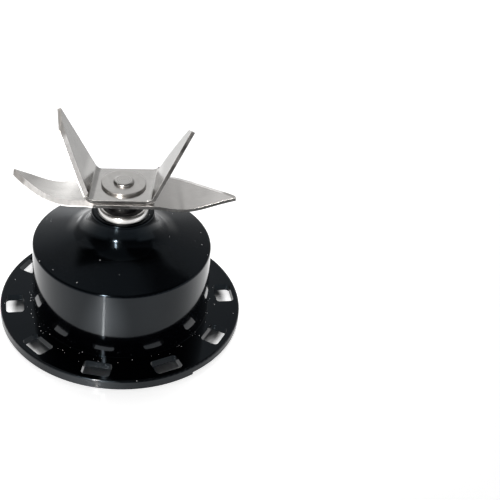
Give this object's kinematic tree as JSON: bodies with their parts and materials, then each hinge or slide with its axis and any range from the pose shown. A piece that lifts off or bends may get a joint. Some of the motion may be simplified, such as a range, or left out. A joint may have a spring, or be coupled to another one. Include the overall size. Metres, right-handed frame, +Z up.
{
  "type": "blender blade assembly",
  "caption": "Blender cutter: stacked folded stainless blades on a spinning shaft, carried by plain bearings in a black moulded hub with a windowed round flange.",
  "frame": {"origin": "on the shaft axis, at the plane that the flange's lugs stand on", "axes": "+Z up along the shaft, towards the blades; +X along the blades' long direction"},
  "size_m": [0.082, 0.082, 0.0729],
  "materials": {
    "black_moulding": "glossy moulded",
    "black_plastic": "satin",
    "black_rubber": "matte",
    "blade_steel": "polished with fine grain",
    "turned_steel": "turned",
    "spring_steel": "oiled",
    "bronze": "sintered",
    "brass": "turned",
    "felt": "oil-soaked felt",
    "nylon": "natural nylon"
  },
  "bodies": {
    "base": {"cutter_base": "black_moulding", "bearing_housing": "turned_steel", "housing_o_ring": "black_rubber", "lock_washer": "spring_steel", "housing_nut": "turned_steel", "upper_bushing": "bronze", "lower_bushing": "bronze", "oil_felt": "felt", "shaft_seal": "black_rubber"},
    "rotor": {"shaft": "turned_steel", "upper_thrust_washer": "nylon", "lower_thrust_washer": "nylon", "backing_washer": "turned_steel", "retaining_ring": "spring_steel", "blade_spacer": "black_plastic", "lower_blade": "blade_steel", "upper_blade": "blade_steel", "clamp_washer": "blade_steel", "drive_coupling": "black_plastic", "coupling_insert": "brass"}
  },
  "joints": [
    {"name": "blade_spin", "type": "hinge", "parent": "base", "child": "rotor", "pos_m": [0, 0, 0.03], "axis": [0, 0, 1], "continuous": true}
  ]
}
